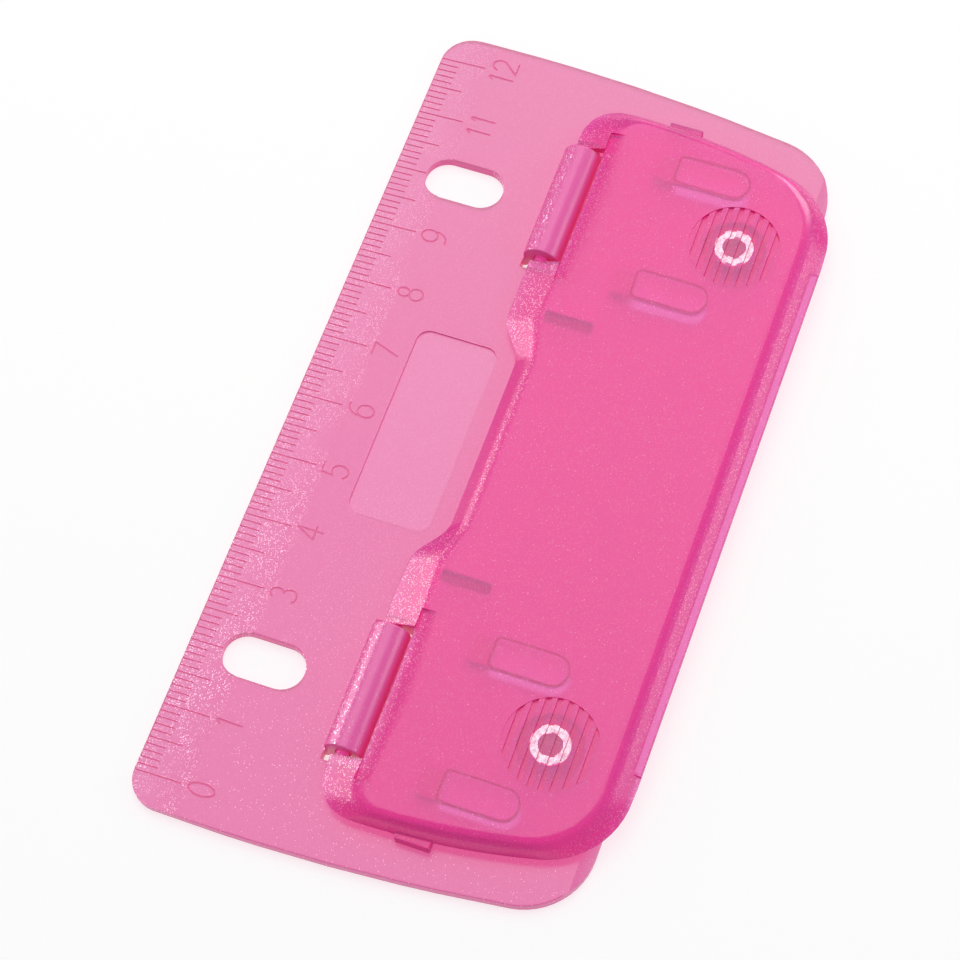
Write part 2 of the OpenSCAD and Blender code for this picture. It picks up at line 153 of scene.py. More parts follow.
# Polystyrene: depth takes the light towards soakHex, by soakPerMetre, and cloud of the skin is cloudy.
# oddShare of the flakes stand out anywhere, by oddShow, and the rest by where the skin leans.
styreneIor = 1.57
shadowHex = "#f7eff3"  # what each skin lets through of a lamp's light
# on the plate the wall tone is a bright painted light, as of light glowing inside its walls
lightPink = {"clearHex": "#ffffff", "cloud": 0.42, "cloudHex": "#ff82bc", "wallLightShadeHex": "#ff66b8", "rough": 0.25,
             "soakHex": "#f935c8", "soakPerMetre": 1100, "oddShare": 0.25, "oddShow": 0.6, "slopeShow": 1.0,
             "steepShow": 1.0, "frontShow": 0.06}
# on the lever the wall tone is a deeper painted shade along its walls
deepPink = {"clearHex": "#ffa4d2", "cloud": 0.43, "cloudHex": "#f63cc6", "wallLightShadeHex": "#ea3494", "rough": 0.25,
            "soakHex": "#f800c2", "soakPerMetre": 720, "oddShare": 0.04, "oddShow": 0.2, "slopeShow": 0.42,
            "steepShow": 0.06, "frontShow": 0.3}
# Upright walls are painted in an opaque tone that stands in for how clear plastic bends light along its
# walls: painted light on the plate, where its walls glow, and painted shade on the lever; cloud is how much
# of a wall takes it. All but cloud are limits on the skin's direction along Z.
walls = {"level": 0.6, "upright": 0.2, "cloud": 0.85, "isUpright": 0.3, "isTop": 0.5}


def tinted(t, body, share, hexColour, rough):  # share of the skin in a tone that the eye can't see into
    tone = addNode(t, "ShaderNodeBsdfPrincipled", {
        "Base Color": linear(hexColour), "Roughness": rough, "IOR": styreneIor})
    return addNode(t, "ShaderNodeMixShader", {0: share, 1: body, 2: tone.outputs[0]}).outputs[0]


# what stands on the plate is thick: hooks behind from, and paper stops ahead of it. The stops' walls are
# painted in stopShadeHex, a painted shade matching the plate in shade under the roof; the hooks' outer skin
# takes the walls' painted tone, and the outer skin is painted paler towards the far end.
onPlate = {"thick": (1.7, 2.6), "from": 2.4, "stopShadeHex": "#e03c80", "paleEndHex": "#ffc8e0",
           "paleEndAlong": (-10.0, 60.0), "paleEnd": 0.16}


def plateBody(t, given, tint, body, wallLightAndShade):
    spot, outside = given["spot"], given["outside"]
    tall = addNode(t, "ShaderNodeMapRange", {
        "Value": spot["Z"], **ramp(inMetres(onPlate["thick"]))}).outputs[0]
    # the stops' walls are painted darker, as painted shade under the roof
    stops = covered(t, ("LESS_THAN", spot["Y"], onPlate["from"] * mm), tall)
    body = tinted(t, body, covered(t, stops, wallLightAndShade), onPlate["stopShadeHex"], tint["rough"])
    # the outer skin is painted paler towards the far end
    farEnd = addNode(t, "ShaderNodeMapRange", {
        "Value": spot["X"], **ramp(inMetres(onPlate["paleEndAlong"]), 0.0, onPlate["paleEnd"])})
    body = tinted(t, body, covered(t, farEnd.outputs[0], outside), onPlate["paleEndHex"], tint["rough"])
    # the hooks' outer skin and the other walls take the painted wall tone of light and shade
    hooks = covered(t, ("GREATER_THAN", spot["Y"], onPlate["from"] * mm), tall, outside)
    otherWalls = covered(t, ("SUBTRACT", 1.0, stops), wallLightAndShade)
    solid = addNode(t, "ShaderNodeMath", {"operation": "MAXIMUM", 0: hooks, 1: otherWalls})
    return tinted(t, body, solid.outputs[0], tint["wallLightShadeHex"], tint["rough"])


# The press pads: the shine of a punch's ground crown is painted on the roof's skin as steel, from and to
# these radii, a painted reflection broken up in patches some 0.7 mm across, with a touch of it in the bore by
# boreShow. The pad itself has valleys out to reach, painted a little deeper in tone as shade, and the bore
# inside from is painted darker as shade, by boreShade.
pads = {"hex": "#f6e9ee", "rough": 0.25, "from": 1.7, "to": 2.8, "show": 0.46, "patchSize": 0.66667,
        "patchyShine": (0.35, 0.65), "boreShow": 0.02, "boreShade": 0.45, "reach": 6.65, "valleyTop": 5.0,
        "valleyShade": 0.3}
# Under the lever's roof the walls of the pockets over the paper stops and the two ribs are painted darker, a
# painted shade for where they bend light aside. Each pair is the middle of a stretch and how far it reaches
# each way, from a punch's axis for a pocket, and from the middle for a rib.
underRoof = {"hex": "#e2186e", "shade": 0.95, "pocketAside": (10.0, 2.6), "pocketBehind": (6.6, 5.9),
             "pocketTop": 4.9, "ribAside": (21.3, 0.75), "ribAlong": (-1.2, 3.55), "ribTop": 4.28}
# A pocket's outline is painted on the roof's skin as a fine darker line, a painted shade for the pocket's
# edge below. It has straight sides, a round tip and a root with soft corners, and its places are from a
# punch's axis.
outline = {"hex": "#c81470", "show": 0.55, "line": 0.15, "aside": 10.0, "halfWidth": 2.3, "tip": 3.2,
           "root": 11.8, "corner": 1.6}


def axisOf(node):  # where a tube stands on the plate
    corners = [Vector(c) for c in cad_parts[node].bound_box]
    middle = sum(corners, Vector()) / len(corners)
    return (middle.x, middle.y, 0.0)


def pastOutline(t, beside, behind):  # how far outside a pocket's outline a place lies
    across = addNode(t, "ShaderNodeMath", {"operation": "SUBTRACT", 0: beside, 1: outline["aside"] * mm})
    pastTip = addNode(t, "ShaderNodeMath", {"operation": "SUBTRACT", 0: behind, 1: outline["tip"] * mm})
    tipOnly = addNode(t, "ShaderNodeMath", {"operation": "MINIMUM", 0: pastTip.outputs[0], 1: 0.0})
    fromTip = addNode(t, "ShaderNodeCombineXYZ", {"X": across.outputs[0], "Y": tipOnly.outputs[0]})
    away = addNode(t, "ShaderNodeVectorMath", {"operation": "LENGTH", 0: fromTip.outputs[0]})
    pastSide = addNode(t, "ShaderNodeMath", {
        "operation": "SUBTRACT", 0: away.outputs["Value"], 1: outline["halfWidth"] * mm})
    pastRoot = addNode(t, "ShaderNodeMath", {"operation": "SUBTRACT", 0: behind, 1: outline["root"] * mm})
    past = addNode(t, "ShaderNodeMath", {
        "operation": "SMOOTH_MAX", 0: pastSide.outputs[0], 1: pastRoot.outputs[0], 2: outline["corner"] * mm})
    return past.outputs[0]


def leverBody(t, given, tint, body, wallLightAndShade):
    spot, rough = given["spot"], tint["rough"]
    aside = addNode(t, "ShaderNodeMath", {"operation": "ABSOLUTE", 0: spot["X"]}).outputs[0]
    flatSpot = addNode(t, "ShaderNodeCombineXYZ", {"X": aside, "Y": spot["Y"]})
    fromAxis = addNode(t, "ShaderNodeVectorMath", {
        "operation": "SUBTRACT", 0: flatSpot.outputs[0], 1: axisOf("punch_right")}).outputs[0]
    radius = addNode(t, "ShaderNodeVectorMath", {"operation": "LENGTH", 0: fromAxis}).outputs["Value"]
    offset = addNode(t, "ShaderNodeSeparateXYZ", {0: fromAxis}).outputs
    beside = addNode(t, "ShaderNodeMath", {"operation": "ABSOLUTE", 0: offset["X"]}).outputs[0]
    onTop = covered(t, ("GREATER_THAN", given["lie"]["Z"], walls["isTop"]))
    onRoof = covered(t, onTop, given["outside"])
    # painted shade: the pad's valleys take the deeper wall tone
    valleys = covered(t, ("LESS_THAN", spot["Z"], pads["valleyTop"] * mm),
                      ("LESS_THAN", radius, pads["reach"] * mm), onTop, pads["valleyShade"])
    solid = addNode(t, "ShaderNodeMath", {"operation": "MAXIMUM", 0: valleys, 1: wallLightAndShade})
    body = tinted(t, body, solid.outputs[0], tint["wallLightShadeHex"], rough)
    # pocket walls and ribs under the roof are painted darker as shade
    pockets = covered(t, ("LESS_THAN", given["level"], walls["isUpright"]),
                      ("COMPARE", beside, *inMetres(underRoof["pocketAside"])),
                      ("COMPARE", offset["Y"], *inMetres(underRoof["pocketBehind"])),
                      ("LESS_THAN", spot["Z"], underRoof["pocketTop"] * mm))
    ribs = covered(t, ("COMPARE", aside, *inMetres(underRoof["ribAside"])),
                   ("COMPARE", spot["Y"], *inMetres(underRoof["ribAlong"])),
                   ("LESS_THAN", spot["Z"], underRoof["ribTop"] * mm))
    shaded = addNode(t, "ShaderNodeMath", {"operation": "MAXIMUM", 0: pockets, 1: ribs})
    body = tinted(t, body, covered(t, shaded.outputs[0], underRoof["shade"]), underRoof["hex"], rough)
    # painted shade on the roof's skin: the pockets' outlines as fine lines, and the bore as a darker disc
    onLine = covered(t, ("COMPARE", pastOutline(t, beside, offset["Y"]), 0.0, outline["line"] * mm), onRoof,
                     outline["show"])
    bore = covered(t, ("LESS_THAN", radius, pads["from"] * mm), onRoof)
    paintedShadeMarks = addNode(t, "ShaderNodeMath", {
        "operation": "MAXIMUM", 0: onLine, 1: covered(t, bore, pads["boreShade"])})
    body = tinted(t, body, paintedShadeMarks.outputs[0], outline["hex"], rough)
    # the crown's shine painted on the roof's skin as steel: a painted reflection, broken up in patches by
    # noise
    shineNoise = addNode(t, "ShaderNodeTexNoise", {"Scale": 1 / (pads["patchSize"] * mm), "Vector": given["place"]})
    patchyShine = addNode(t, "ShaderNodeMapRange", {
        "Value": shineNoise.outputs["Fac"], **ramp(pads["patchyShine"], pads["show"] / 2, pads["show"])})
    middle, reach = (pads["from"] + pads["to"]) / 2 * mm, (pads["to"] - pads["from"]) / 2 * mm
    crown = covered(t, ("COMPARE", radius, middle, reach), onRoof, patchyShine.outputs[0])
    shine = addNode(t, "ShaderNodeMath", {
        "operation": "ADD", 0: crown, 1: covered(t, bore, pads["boreShow"])})
    paintedCrownShine = addNode(t, "ShaderNodeBsdfPrincipled", {
        "Base Color": linear(pads["hex"]), "Metallic": 1.0, "Roughness": pads["rough"]})
    return addNode(t, "ShaderNodeMixShader", {0: shine.outputs[0], 1: body, 2: paintedCrownShine.outputs[0]}).outputs[0]


def clearInShadow(t, surface):  # clear plastic throws a pale tinted shadow, not a black one
    path = addNode(t, "ShaderNodeLightPath", {})
    letThrough = addNode(t, "ShaderNodeBsdfTransparent", {"Color": linear(shadowHex)})
    return addNode(t, "ShaderNodeMixShader", {
        0: path.outputs["Is Shadow Ray"], 1: surface, 2: letThrough.outputs[0]}).outputs[0]


def glitterStyrene(name, tint, ownBody, ownFlakes=None):
    # clear styrene moulded with pink dye and pearl flakes: glassy skin, cloudy body, sparks where a lamp
    # is mirrored
    m = newMaterial(name)
    t = m.node_tree
    place = addNode(t, "ShaderNodeTexCoord", {}).outputs
    facing = addNode(t, "ShaderNodeNewGeometry", {}).outputs
    lie = addNode(t, "ShaderNodeSeparateXYZ", {"Vector": place["Normal"]}).outputs
    # where a point is, how its skin lies, and 1 on the skin's outer side
    given = {"place": place["Object"], "normal": facing["Normal"], "lie": lie,
             "spot": addNode(t, "ShaderNodeSeparateXYZ", {"Vector": place["Object"]}).outputs,
             "outside": covered(t, ("SUBTRACT", 1.0, facing["Backfacing"])),
             "level": covered(t, ("ABSOLUTE", lie["Z"]))}
    clear = addNode(t, "ShaderNodeBsdfPrincipled", {
        "Base Color": linear(tint["clearHex"]), "Roughness": tint["rough"], "IOR": styreneIor,
        "Transmission Weight": 1.0})
    cloudy = covered(t, given["outside"], tint["cloud"])
    body = tinted(t, clear.outputs[0], cloudy, tint["cloudHex"], tint["rough"])
    # the share of upright walls that takes the painted wall tone of light and shade
    wallLightAndShade = addNode(t, "ShaderNodeMapRange", {
        "Value": given["level"], **ramp((walls["level"], walls["upright"]), 0.0, walls["cloud"])})
    body = ownBody(t, given, tint, body, wallLightAndShade.outputs[0])
    flakes, flakeNormal = flakesIn(t, given, tint, ownFlakes)
    flake = addNode(t, "ShaderNodeBsdfGlossy", {
        "Color": linear(glitter["hex"]), "Roughness": glitter["rough"], "Normal": flakeNormal})
    mix = addNode(t, "ShaderNodeMixShader", {0: flakes, 1: body, 2: flake.outputs[0]})
    soak = addNode(t, "ShaderNodeVolumeAbsorption", {
        "Color": linear(tint["soakHex"]), "Density": tint["soakPerMetre"]})
    addNode(t, "ShaderNodeOutputMaterial", {
        "Surface": clearInShadow(t, mix.outputs[0]), "Volume": soak.outputs[0]})
    return m


# grain of 0.25 mm is coarser than a cutter's real marks, so that it shows; hex is a darker tone painted as
# the shade inside the cuts
grooveMattAndShade = {"hex": "#f2559f", "clear": 0.1, "grainSize": 0.25, "rough": (0.2, 0.45)}


def cutStyrene(name):
    # the same styrene where a fine cutter has left the mould matt, and painted darker as the shade inside the
    # cuts, so that the marks read as darker lines
    m = newMaterial(name)
    t = m.node_tree
    place = addNode(t, "ShaderNodeTexCoord", {})
    grain = addNode(t, "ShaderNodeTexNoise", {
        "Scale": 1 / (grooveMattAndShade["grainSize"] * mm), "Vector": place.outputs["Object"]})
    rough = addNode(t, "ShaderNodeMapRange", {
        "Value": grain.outputs["Fac"], **ramp((0.0, 1.0), *grooveMattAndShade["rough"])})
    body = addNode(t, "ShaderNodeBsdfPrincipled", {
        "Base Color": linear(grooveMattAndShade["hex"]), "Roughness": rough.outputs[0], "IOR": styreneIor,
        "Transmission Weight": grooveMattAndShade["clear"]})
    addNode(t, "ShaderNodeOutputMaterial", {"Surface": clearInShadow(t, body.outputs[0])})
    return m


# the grinding's rings are drawn 0.11 mm apart, coarser than real ones, so that they show
tube = {"hex": "#e3e3e2", "across": 2.5, "rings": 0.11111, "rough": (0.12, 0.26)}


def groundSteel(name):
    # hardened tube steel, centreless ground: bright, with faint rings round the tube
    m = newMaterial(name)
    t = m.node_tree
    place = addNode(t, "ShaderNodeTexCoord", {})
    perMetre = [1 / (tube[size] * mm) for size in ("across", "across", "rings")]
    stretch = addNode(t, "ShaderNodeMapping", {"Scale": perMetre, "Vector": place.outputs["Object"]})
    grain = addNode(t, "ShaderNodeTexNoise", {"Scale": 1.0, "Detail": 3.0, "Vector": stretch.outputs[0]})
    rough = addNode(t, "ShaderNodeMapRange", {
        "Value": grain.outputs["Fac"], **ramp((0.0, 1.0), *tube["rough"])})
    body = addNode(t, "ShaderNodeBsdfPrincipled", {
        "Base Color": linear(tube["hex"]), "Metallic": 1.0, "Roughness": rough.outputs[0]})
    addNode(t, "ShaderNodeOutputMaterial", {"Surface": body.outputs[0]})
    return m


basePlastic = glitterStyrene("glitter_styrene_light_pink", lightPink, plateBody, frosted)
leverPlastic = glitterStyrene("glitter_styrene_deep_pink", deepPink, leverBody)
grooveShadePlastic = cutStyrene("matt_groove_styrene_painted_shade")
punchSteel = groundSteel("ground_tube_steel")
print("materials made")


# the ruler's figures; slots stand where 2 and 10 would be, and over is how far the cutters stand proud
figures = {"shown": (0, 1, 3, 4, 5, 6, 7, 8, 9, 11, 12), "zeroAt": -60.0, "apart": 10, "height": 3.8,
           "width": 2.1, "pitch": 1.05, "stroke": 0.26, "top": 24.6, "plateTop": 1.6, "depth": 0.1,
           "over": 0.3}
# the round marks of ejector pins, under both mouldings
ejector = {"radius": 1.5, "depth": 0.07, "lever": ((47.1, -3.2), (27.0, -3.2), (15.0, -3.2)), "leverZ": 4.3,
           "leverOver": 0.15, "base": ((56.5, -24.4), (57.0, 7.6)), "baseZ": 0.0, "baseOver": 0.5}


def arc(cx, cy, rx, ry, start, end, steps=14):
    return [(cx + rx * math.cos(math.radians(start + (end - start) * i / steps)),
             cy + ry * math.sin(math.radians(start + (end - start) * i / steps))) for i in range(steps + 1)]


# each figure's strokes in a box about 1 wide and 1 high
strokesOf = {
    "0": [arc(0.5, 0.5, 0.42, 0.5, 0, 360, 22)],
    "1": [[(0.28, 0.82), (0.52, 0.98)], [(0.55, 1.0), (0.55, 0.0)]],
    "2": [arc(0.5, 0.7, 0.42, 0.3, 165, -35) + [(0.04, 0.0), (0.98, 0.0)]],
    "3": [arc(0.47, 0.75, 0.36, 0.25, 150, -80), arc(0.47, 0.26, 0.45, 0.26, 80, -150)],
    "4": [[(0.62, 0.98), (0.02, 0.3), (1.02, 0.3)], [(0.66, 1.0), (0.66, 0.0)]],
    "5": [[(0.95, 1.0), (0.16, 1.0), (0.12, 0.56)] + arc(0.46, 0.32, 0.47, 0.32, 115, -150)],
    "6": [arc(0.72, 0.42, 0.68, 0.58, 75, 168, 8), arc(0.5, 0.32, 0.46, 0.32, 0, 360, 18)],
    "7": [[(0.02, 1.0), (0.96, 1.0), (0.36, 0.0)]],
    "8": [arc(0.5, 0.76, 0.34, 0.24, 0, 360, 16), arc(0.5, 0.27, 0.45, 0.27, 5, 365, 18)],
    "9": [arc(0.28, 0.58, 0.68, 0.58, -105, -12, 8), arc(0.5, 0.68, 0.46, 0.32, 0, 360, 18)],
}


def strokePrism(b, points, halfWidth, low, high, closeEnough=0.01, sharpest=0.4):
    # a bent bar along points, or a ring if they come back to the start
    rows = []
    isRing = len(points) > 3 and (Vector(points[0]) - Vector(points[-1])).length < closeEnough
    if isRing:
        points = points[:-1]
    for i, p in enumerate(points):
        if isRing:
            before, after = Vector(points[i - 1]), Vector(points[(i + 1) % len(points)])
        else:
            before, after = Vector(points[max(i - 1, 0)]), Vector(points[min(i + 1, len(points) - 1)])
        here = Vector(p)
        a, c = (here - before).normalized(), (after - here).normalized()
        a, c = (a if a.length else c), (c if c.length else a)
        way = (a + c).normalized()
        side = Vector((-way.y, way.x)) * halfWidth / max(way.dot(a), sharpest)
        rows.append([b.verts.new((q.x, q.y, z)) for q in (here + side, here - side) for z in (high, low)])
    for r, s in zip(rows, rows[1:] + (rows[:1] if isRing else [])):
        for i, j in ((0, 1), (1, 3), (3, 2), (2, 0)):
            b.faces.new((r[i], r[j], s[j], s[i]))
    if isRing:
        return
    b.faces.new((rows[0][0], rows[0][2], rows[0][3], rows[0][1]))
    b.faces.new((rows[-1][1], rows[-1][3], rows[-1][2], rows[-1][0]))


def disc(b, x, y, radius, low, high, steps=40):
    turns = [2 * math.pi * i / steps for i in range(steps)]
    rings = [[b.verts.new((x + radius * math.cos(turn), y + radius * math.sin(turn), z)) for turn in turns]
             for z in (low, high)]
    b.faces.new(rings[0][::-1])
    b.faces.new(rings[1])
    for i in range(steps):
        j = (i + 1) % steps
        b.faces.new((rings[0][i], rings[0][j], rings[1][j], rings[1][i]))


def cutter(name, fill):
    mesh = bpy.data.meshes.new(name)
    b = bmesh.new()
    fill(b)
    bmesh.ops.recalc_face_normals(b, faces=b.faces)
    bmesh.ops.scale(b, vec=(mm, mm, mm), verts=b.verts)
    b.to_mesh(mesh)
    b.free()
    return bpy.data.objects.new(name, mesh)


def baseCuts(b):
    f = figures
    low, high = f["plateTop"] - f["depth"], f["plateTop"] + f["over"]
    for number in f["shown"]:
        text = str(number)
        for k, digit in enumerate(text):
            left = f["zeroAt"] + f["apart"] * number - f["width"] / 2
            left += (k - (len(text) - 1) / 2) * f["width"] * f["pitch"]
            for stroke in strokesOf[digit]:
                points = [(left + x * f["width"], f["top"] - f["height"] * (1 - y)) for x, y in stroke]
                strokePrism(b, points, f["stroke"] / 2, low, high)
    low, high = ejector["baseZ"] - ejector["baseOver"], ejector["baseZ"] + ejector["depth"]
    for x, y in ejector["base"]:
        for side in (-1, 1):
            disc(b, side * x, y, ejector["radius"], low, high)


def leverCuts(b):
    low, high = ejector["leverZ"] - ejector["leverOver"], ejector["leverZ"] + ejector["depth"]
    for x, y in ejector["lever"]:
        for side in (-1, 1):
            disc(b, side * x, y, ejector["radius"], low, high)


# round is the radius left on a moulding's edges, and crest the wider one along the top of its slopes.
# Edges beyond sharpFrom, where the ruler thins, stay sharp, and so do those beside faces narrower than
# leastRoom. splitAt is where flats with a hole in them are split.
plate = {"round": 0.2, "crest": 0.0, "leastRoom": 0.6, "splitAt": (-39.6, 39.6), "sharpFrom": 24.8}
lever = {"round": 0.2, "crest": 1.2, "leastRoom": 0.6, "splitAt": (-39.6, 39.6), "sharpFrom": 99.0}
# An edge turns by more than turn and a crest by crestTurn, in degrees; a crest is where a level flat of
# leastArea mm2 turns down into a slope. sharpUpTo are the lengths of edges that stay sharp where a round
# would fold over itself, tried in turn until none does or 0 comes.
edging = {"turn": 28, "crestTurn": 13, "leastArea": 300, "levelZ": 0.99, "slopeZ": (0.3, 0.98), "steps": 3,
          "crestSteps": 5, "tableGap": 0.05, "newFold": 0.3, "sharpUpTo": (2, 5, 15, 200, 0)}
# points nearer than a weld become one, and so do faces that turn by less than a flat, in degrees
cleaning = {"weld": 0.002, "flat": 1.0, "roundWeld": 0.01, "splitWeld": 1e-6, "splitFlat": 0.5}


def angleOf(e):
    return math.degrees(e.calc_face_angle(0)) if len(e.link_faces) == 2 else 0.0


def roomAt(e):  # how wide the narrower of the two faces is
    return min(f.calc_area() for f in e.link_faces) / max(e.calc_length(), 1e-7) / mm


def carved(node, name, tool):  # the CAD solid's shape with fine marks cut into it
    piece = bpy.data.objects.new(name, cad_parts[node].data.copy())
    bpy.context.scene.collection.objects.link(piece)
    b = bmesh.new()
    b.from_mesh(piece.data)
    bmesh.ops.remove_doubles(b, verts=b.verts, dist=cleaning["weld"] * mm)
    bmesh.ops.dissolve_limit(b, angle_limit=math.radians(cleaning["flat"]), verts=b.verts, edges=b.edges)
    b.to_mesh(piece.data)
    b.free()
    bpy.context.scene.collection.objects.link(tool)
    cut = piece.modifiers.new("cut", "BOOLEAN")
    cut.operation, cut.solver, cut.use_self, cut.object = "DIFFERENCE", "EXACT", True, tool
    result = bpy.data.meshes.new_from_object(piece.evaluated_get(bpy.context.evaluated_depsgraph_get()))
    piece.modifiers.clear()
    piece.data = result
    bpy.data.objects.remove(tool)
    return piece


def onCrest(e):  # where a wide flat turns down into a slope
    wide = max(e.link_faces, key=lambda f: f.calc_area())
    other = min(e.link_faces, key=lambda f: f.calc_area())
    isFlat = wide.calc_area() > edging["leastArea"] * mm * mm and wide.normal.z > edging["levelZ"]
    return isFlat and edging["slopeZ"][0] < other.normal.z < edging["slopeZ"][1]


def soften(b, edges, width, segments):
    bmesh.ops.bevel(b, geom=edges, offset=width * mm, segments=segments, profile=0.5, affect="EDGES",
                    clamp_overlap=False)
    bmesh.ops.remove_doubles(b, verts=b.verts, dist=cleaning["roundWeld"] * mm)


def halved(b, xs):  # flats with a hole in them are split square across it, and nowhere else
    for x in xs:
        bmesh.ops.bisect_plane(b, geom=b.verts[:] + b.edges[:] + b.faces[:], dist=cleaning["splitWeld"] * mm,
                               plane_co=(x * mm, 0, 0), plane_no=(1, 0, 0))
    for f in b.faces:
        f.material_index = sum(f.calc_center_median().x > x * mm for x in xs)
    bmesh.ops.dissolve_limit(b, angle_limit=math.radians(cleaning["splitFlat"]), verts=b.verts, edges=b.edges,
                             delimit={"MATERIAL"})


def foldsIn(b, backToBack=-0.9, leastArea=0.002):  # places where two faces lie back to back
    t = b.copy()
    bmesh.ops.triangulate(t, faces=t.faces)
    least = leastArea * mm * mm
    found = [v.co.copy() for e in t.edges if len(e.link_faces) == 2
             and e.link_faces[0].normal.dot(e.link_faces[1].normal) < backToBack
             and min(f.calc_area() for f in e.link_faces) > least for v in e.verts]
    t.free()
    return found


def isNear(e, places, reach=0.4):
    a, c = (v.co for v in e.verts)
    for p in places:
        on, share = intersect_point_line(p, a, c)
        on = a if share < 0 else c if share > 1 else on
        if (p - on).length < reach * mm:
            return True
    return False


# edges rounded as a mould leaves them, the wide ones along the slopes first; short ones where a round
# would fold over itself stay sharp, and only if that is not enough the longer ones near them
def rounded(piece, edges):
    spoilt = []

    def isFree(e):
        return not any(e.calc_length() < limit * mm and isNear(e, places) for limit, places in spoilt)

    def isRound(e):
        return (angleOf(e) > edging["turn"] and roomAt(e) > edges["leastRoom"]
                and max(v.co.y for v in e.verts) < edges["sharpFrom"] * mm
                and max(v.co.z for v in e.verts) > edging["tableGap"] * mm)

    for longest in edging["sharpUpTo"]:
        b = bmesh.new()
        b.from_mesh(piece.data)
        halved(b, edges["splitAt"])
        old = foldsIn(b)
        if edges["crest"]:
            crests = [e for e in b.edges if angleOf(e) > edging["crestTurn"] and onCrest(e) and isFree(e)]
            soften(b, crests, edges["crest"], edging["crestSteps"])
        soften(b, [e for e in b.edges if isRound(e) and isFree(e)], edges["round"], edging["steps"])
        new = [p for p in foldsIn(b) if all((p - q).length > edging["newFold"] * mm for q in old)]
        print(piece.name, "folds", len(new))
        if not new or not longest:
            break
        spoilt.append((longest, new))
        b.free()
    for f in b.faces:
        f.material_index = 0
    bmesh.ops.delete(b, geom=[e for e in b.edges if not e.link_faces], context="EDGES")
    b.to_mesh(piece.data)
    b.free()


def evenNormals(piece, flatArea=15.0, blend=40):
    # flats of flatArea mm2 keep their own direction right to the edge, and rounds run smoothly into them
    mesh = piece.data
    for p in mesh.polygons:
        p.use_smooth = True
    near = [[] for v in mesh.vertices]
    for p in mesh.polygons:
        for v in p.vertices:
            near[v].append(p.index)
    faces = [(p.normal.copy(), p.area, p.area > flatArea * mm * mm) for p in mesh.polygons]
    limit = math.cos(math.radians(blend))
    result = [None] * len(mesh.loops)
    for p in mesh.polygons:
        own, area, isFlat = faces[p.index]
        for li in p.loop_indices:
            if isFlat:
                result[li] = own
                continue
            around = [faces[i] for i in near[mesh.loops[li].vertex_index]]
            flats = [f for f in around if f[2] and f[0].dot(own) > limit]
            if flats:
                result[li] = max(flats, key=lambda f: f[0].dot(own))[0]
            else:
                total = Vector()
                for n, a, flat in around:
                    if not flat and n.dot(own) > limit:
                        total += n * a
                result[li] = total.normalized() if total.length > 0 else own
    mesh.normals_split_custom_set([tuple(n) for n in result])


# Which faces of the plate take the groove material, painted darker as the shade in its cuts: marks on the
# ruler, which falls by drop a mm towards its edge, figures in front of it, and the rim of the label's recess.
# The slots don't take it, and near and ahead leave room for small errors.
cutAt = {"ruler": 24.6, "drop": 0.5 / 8, "markDepth": 0.12, "marksTo": 63, "figuresFrom": 20.0,
         "figureFloor": 1.4, "slotX": (36, 44), "slotTop": 27.5, "labelX": 16.0, "labelY": (6.5, 20.0),
         "labelFloor": 1.1, "rimZ": 0.97, "near": 0.02, "ahead": 0.1}


def inGroove(p):  # the walls and floors of the ruler's marks and figures, and the rim of the label's recess
    x, y, z = (v / mm for v in p.center)
    aside, top, near = abs(x), figures["plateTop"], cutAt["near"]
    inLabel = aside < cutAt["labelX"] and cutAt["labelY"][0] < y < cutAt["labelY"][1]
    if inLabel and cutAt["labelFloor"] < z < top - near / 2:
        return abs(p.normal.z) < cutAt["rimZ"]
    bySlot = cutAt["slotX"][0] < aside < cutAt["slotX"][1] and y < cutAt["slotTop"]
    if aside > cutAt["marksTo"] or bySlot:
        return False
    if y > cutAt["ruler"] - cutAt["ahead"]:
        below = top - max(y - cutAt["ruler"], 0) * cutAt["drop"] - z
        return near < below < cutAt["markDepth"] + near
    return cutAt["figuresFrom"] < y and cutAt["figureFloor"] < z < top - near


basePiece = carved("base_plate", "base_moulding", cutter("base_cuts", baseCuts))
leverPiece = carved("punch_lever", "lever_moulding", cutter("lever_cuts", leverCuts))
print("marks cut")
for piece, edges, body, material in (
        (basePiece, plate, "base", basePlastic), (leverPiece, lever, "lever", leverPlastic)):
    rounded(piece, edges)
    evenNormals(piece)
    piece.data.materials.clear()
    piece.data.materials.append(material)
    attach(piece, body)
# grooves take the matt material painted darker as the shade inside the cuts
basePiece.data.materials.append(grooveShadePlastic)
for p in basePiece.data.polygons:
    p.material_index = 1 if inGroove(p) else 0
print("grooves", sum(p.material_index for p in basePiece.data.polygons))
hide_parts("base_plate")
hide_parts("punch_lever")
for node in ("punch_left", "punch_right"):
    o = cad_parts[node]
    o.data.materials.clear()
    o.data.materials.append(punchSteel)
print("mouldings rounded")


# each lamp's place and size in metres, and its watts; the rear and front lights are mirrored by the
# slopes, and the sparks light only what shines, above all the flakes
studio = {
    "whiteHex": "#ffffff", "world": 0.42, "backdrop": 1.0,
    "lamps": {"top_light": ((0.233, 0.112, 0.541), 0.45, 1.15),
              "rear_light": ((0.234, 0.486, 0.264), 0.2, 0.2),
              "front_light": ((0.233, -0.493, 0.243), 0.25, 0.45),
              "end_light": ((0.572, 0.112, 0.151), 0.2, 0.2),
              "spark_rear": ((0.0, 0.57, 0.19), 0.5, 2.5),
              "spark_end": ((0.51, -0.15, 0.27), 0.25, 1.2)}}
# reach is in metres; glowShare of the floor glows white to the eye, and less through clear plastic
floorLook = {"reach": 3.0, "gap": 0.02, "glowShare": 0.6, "glow": 1.14, "throughPlastic": 0.84}


